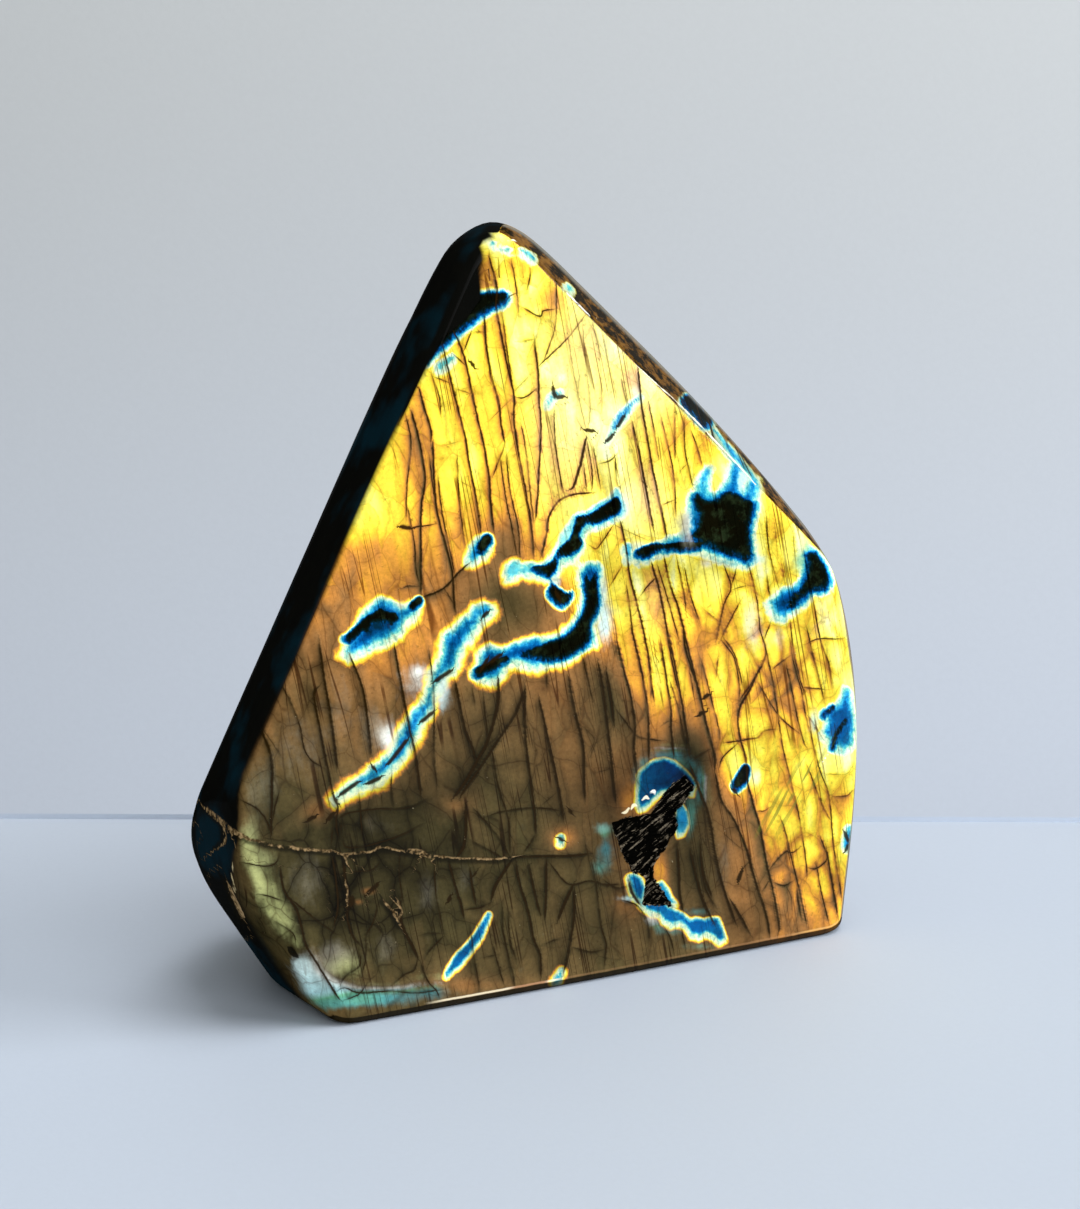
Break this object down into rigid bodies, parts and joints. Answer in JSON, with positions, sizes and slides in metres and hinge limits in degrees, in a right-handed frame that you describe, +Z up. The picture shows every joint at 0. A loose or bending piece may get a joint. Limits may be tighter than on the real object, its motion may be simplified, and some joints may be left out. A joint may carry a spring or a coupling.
{
  "type": "labradorite freeform",
  "caption": "Polished upright piece of labradorite with a flat sawn base, broad near-flat faces, a ring of narrow side facets and one rough pocket in the front.",
  "frame": {"origin": "centre of the bounding box, on the flat sawn base that the stone stands on", "axes": "+X along the wide front face to the right as seen from the front, -Y out of the front face, +Z up"},
  "size_m": [0.121, 0.0448, 0.1291],
  "materials": {
    "stone": "high polish over grey-brown labradorite with yellow, orange and blue flash, dark veins and fine cleavage cracks; rough black in the pocket"
  },
  "bodies": {
    "root": {"stone": "stone"}
  },
  "joints": []
}
